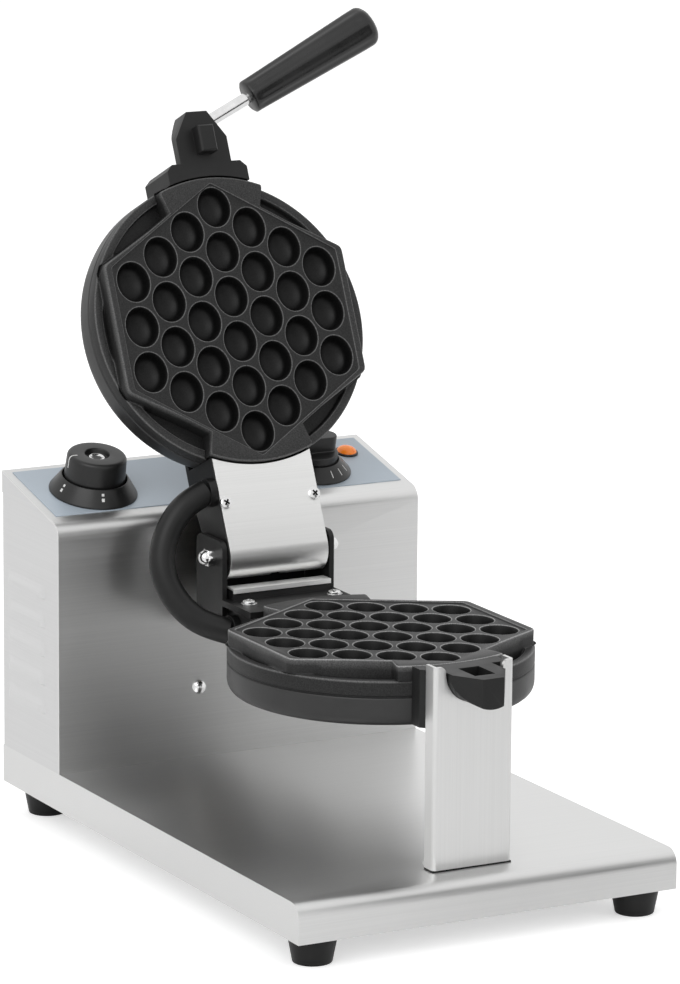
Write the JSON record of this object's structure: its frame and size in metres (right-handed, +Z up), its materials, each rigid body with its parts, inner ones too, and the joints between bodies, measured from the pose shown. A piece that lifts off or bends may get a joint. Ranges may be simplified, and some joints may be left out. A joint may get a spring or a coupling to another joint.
{
  "type": "bubble waffle maker",
  "caption": "Countertop bubble waffle maker: hinged round cast pan with egg-shaped cells, turning in a cradle above a steel base, with a sloped control housing behind.",
  "frame": {"origin": "middle of the base on the table, which is the bottom centre of the whole part's box", "axes": "+Z up, +X to the user's right, +Y to the housing at the back"},
  "size_m": [0.2548, 0.3944, 0.4918],
  "materials": {
    "stainless": "brushed stainless sheet",
    "rubber": "satin black rubber",
    "bright_screws": "bright plated",
    "black_casting": "satin black paint on a casting",
    "nonstick_plate": "fine-grained black non-stick coating on a casting",
    "heater_steel": "plain turned steel",
    "bush_brass": "turned brass",
    "knob_plastic": "satin black moulding",
    "grip_plastic": "semi-gloss black phenolic",
    "terminal_plastic": "off-white moulding",
    "overlay_film": "pale blue-grey film",
    "lamp_lens": "clear orange lens"
  },
  "bodies": {
    "stand": {"base_tray": "stainless", "housing_front_top": "stainless", "side_panel_left": "stainless", "side_panel_right": "stainless", "back_panel": "stainless", "cradle_column": "stainless", "foot_front_left": "rubber", "foot_front_right": "rubber", "foot_back_left": "rubber", "foot_back_right": "rubber", "column_pad": "rubber", "cable_gland": "rubber", "foot_screws": "bright_screws", "back_panel_screws": "bright_screws", "bearing_bolts": "bright_screws", "column_screws": "bright_screws", "bearing_bracket": "heater_steel", "shaft_bush": "bush_brass", "thermostat_bezel": "knob_plastic", "timer_bezel": "knob_plastic", "thermostat_body": "knob_plastic", "timer_body": "knob_plastic", "terminal_block": "terminal_plastic", "control_overlay": "overlay_film", "indicator_lamp": "lamp_lens"},
    "pan": {"rotor_shaft": "heater_steel", "shaft_collar": "heater_steel", "hinge_bracket": "black_casting", "hinge_strip": "stainless", "bracket_screws": "bright_screws", "hinge_pin": "bright_screws", "hinge_nuts": "bright_screws", "lower_plate": "nonstick_plate", "lower_heater": "heater_steel", "lower_cover": "black_casting", "lower_lug": "black_casting", "lower_gland": "rubber", "wire_sleeve": "rubber"},
    "lid": {"upper_plate": "nonstick_plate", "upper_heater": "heater_steel", "upper_cover": "black_casting", "upper_lug": "black_casting", "hinge_arm": "black_casting", "arm_screws": "bright_screws", "hinge_cover": "stainless", "hinge_cover_screws": "bright_screws", "handle_rod": "bright_screws", "handle_grip": "grip_plastic", "upper_gland": "rubber"},
    "thermostat_dial": {"thermostat_knob": "knob_plastic", "thermostat_knob_cap": "bright_screws", "thermostat_spindle": "heater_steel"},
    "timer_dial": {"timer_knob": "knob_plastic", "timer_spindle": "heater_steel"}
  },
  "joints": [
    {"name": "pan_turn", "type": "hinge", "parent": "stand", "child": "pan", "pos_m": [0, -0.06375, 0.157], "axis": [0, -1, 0], "range_deg": [0, 15]},
    {"name": "lid_hinge", "type": "hinge", "parent": "pan", "child": "lid", "pos_m": [0, 0.07935, 0.175], "axis": [1, 0, 0], "range_deg": [0, 114.7], "deforming": ["wire_sleeve"]},
    {"name": "thermostat_turn", "type": "hinge", "parent": "stand", "child": "thermostat_dial", "pos_m": [-0.082, 0.1565, 0.20477], "axis": [0, -0.2377, 0.9713], "range_deg": [-270, 0]},
    {"name": "timer_turn", "type": "hinge", "parent": "stand", "child": "timer_dial", "pos_m": [0.07, 0.1565, 0.20477], "axis": [0, -0.2377, 0.9713], "range_deg": [-300, 0]}
  ]
}
